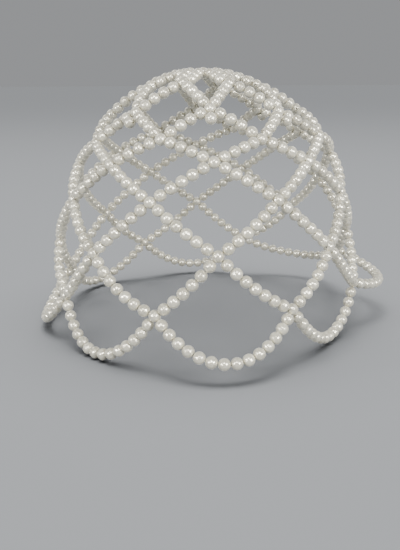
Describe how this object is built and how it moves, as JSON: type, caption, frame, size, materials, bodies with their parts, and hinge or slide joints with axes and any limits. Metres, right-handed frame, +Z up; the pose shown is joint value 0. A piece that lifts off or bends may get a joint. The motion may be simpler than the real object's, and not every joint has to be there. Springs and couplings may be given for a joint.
{
  "type": "pearl net bridal cap",
  "caption": "Open diamond-mesh net cap of strung pearl beads, from a small crown ring down to free hem loops, worn over the top of the head.",
  "frame": {"origin": "the apex of the head under the crown ring, where the cap sits on it", "axes": "+Z up out of the crown, -Y towards the front, +X to the right as seen in the picture (the wearer's left)"},
  "size_m": [0.2049, 0.2149, 0.1441],
  "materials": {
    "pearl": "imitation pearl: warm white pearlescent coat over a round plastic bead, soft gloss, slightly uneven"
  },
  "bodies": {
    "root": {"crown_ring": "pearl", "net_round_1": "pearl", "net_round_2": "pearl", "net_round_3": "pearl", "net_round_4": "pearl", "net_round_5": "pearl", "net_round_6": "pearl", "net_round_7": "pearl", "hem_round": "pearl", "picot_pearl_1": "pearl", "picot_pearl_2": "pearl", "picot_pearl_3": "pearl", "picot_pearl_4": "pearl", "picot_pearl_5": "pearl", "picot_pearl_6": "pearl", "picot_pearl_7": "pearl", "picot_pearl_8": "pearl"}
  },
  "joints": []
}
